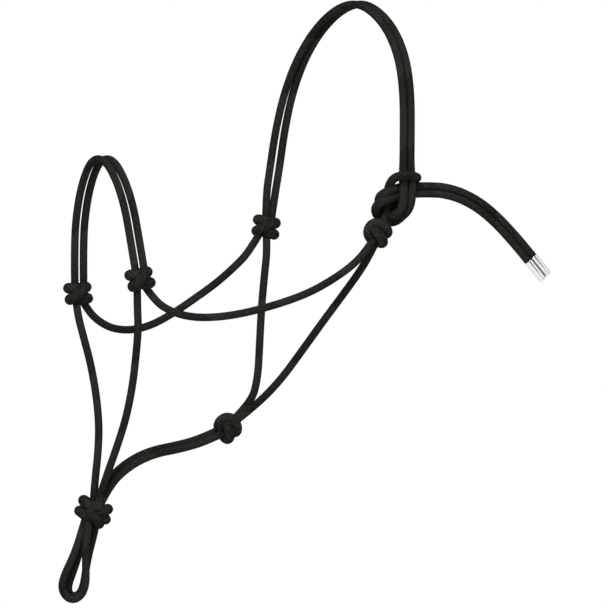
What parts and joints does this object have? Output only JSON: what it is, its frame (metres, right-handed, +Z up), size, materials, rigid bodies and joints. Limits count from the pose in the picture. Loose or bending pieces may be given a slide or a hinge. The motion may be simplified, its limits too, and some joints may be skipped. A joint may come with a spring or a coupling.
{
  "type": "rope halter",
  "caption": "Knotted rope halter for a horse, shown as worn: noseband, cheek strands, throat strands, crown tied at the near cheek, and a lead loop under the chin knot.",
  "frame": {"origin": "midway between the two cheek knots, inside the halter, where the horse's head sits", "axes": "+Z up as worn, -X towards the horse's nose, -Y the horse's left (near) side, where the halter ties"},
  "size_m": [0.4313, 0.2408, 0.5333],
  "materials": {
    "rope": "matt near-black braided polyester rope with a faint sheen",
    "tip_metal": "polished silver-white crimped end cap"
  },
  "bodies": {
    "headstall": {"cheek_strand_near": "rope", "cheek_strand_off": "rope", "nose_knot_near": "rope", "nose_knot_off": "rope"},
    "crown": {"crown_strand_a": "rope", "crown_strand_b": "rope", "cheek_knot_near": "rope", "cheek_knot_off": "rope", "tie_loop": "rope", "sheet_bend_a": "rope", "sheet_bend_b": "rope"},
    "tail_a": {"tail_strand_a": "rope", "tail_tip_a": "tip_metal"},
    "tail_b": {"tail_strand_b": "rope", "tail_tip_b": "tip_metal"},
    "noseband": {"noseband_strand_front": "rope", "noseband_strand_rear": "rope"},
    "chin": {"chin_strand_near": "rope", "chin_strand_off": "rope", "fiador_knot": "rope"},
    "lead": {"lead_loop_front": "rope", "lead_loop_back": "rope"},
    "throat": {"throat_strand_near": "rope", "throat_strand_off": "rope", "throat_knot": "rope"},
    "jaw": {"jaw_strand_near": "rope", "jaw_strand_off": "rope"}
  },
  "joints": [
    {"name": "crown_fold", "type": "hinge", "parent": "headstall", "child": "crown", "pos_m": [0, 0, 0], "axis": [0, 0.9996, 0.0286], "range_deg": [-50, 70], "stiffness_Nm_per_rad": 1.5},
    {"name": "tail_a_swing", "type": "hinge", "parent": "crown", "child": "tail_a", "pos_m": [0.046, -0.1086, 0.0392], "axis": [0, -1, 0], "range_deg": [0, 40], "stiffness_Nm_per_rad": 0.15},
    {"name": "tail_b_swing", "type": "hinge", "parent": "crown", "child": "tail_b", "pos_m": [0.046, -0.1086, 0.0316], "axis": [0, -1, 0], "range_deg": [-40, 0], "stiffness_Nm_per_rad": 0.15},
    {"name": "noseband_fold", "type": "hinge", "parent": "headstall", "child": "noseband", "pos_m": [-0.2125, 0, -0.04975], "axis": [0.0083, 0.9946, -0.1036], "range_deg": [-45, 60], "stiffness_Nm_per_rad": 0.6},
    {"name": "chin_swing", "type": "hinge", "parent": "headstall", "child": "chin", "pos_m": [-0.2125, 0, -0.04975], "axis": [0.0083, 0.9946, -0.1036], "range_deg": [-10, 3], "stiffness_Nm_per_rad": 1},
    {"name": "lead_loop_swing", "type": "hinge", "parent": "chin", "child": "lead", "pos_m": [-0.228, 0, -0.249], "axis": [0, 1, 0], "range_deg": [-30, 30], "stiffness_Nm_per_rad": 0.15},
    {"name": "throat_swing", "type": "hinge", "parent": "headstall", "child": "throat", "pos_m": [0, 0, 0], "axis": [0, 0.9996, 0.0286], "range_deg": [-14, 4.3], "stiffness_Nm_per_rad": 1},
    {"name": "jaw_swing", "type": "hinge", "parent": "throat", "child": "jaw", "pos_m": [-0.095, 0, -0.1755], "axis": [0, 1, 0], "range_deg": [-7, 22], "stiffness_Nm_per_rad": 0.3}
  ],
  "couplings": [
    {"joint": "throat_swing", "follows": "chin_swing", "ratio": 1.38},
    {"joint": "jaw_swing", "follows": "chin_swing", "ratio": -2.16}
  ]
}
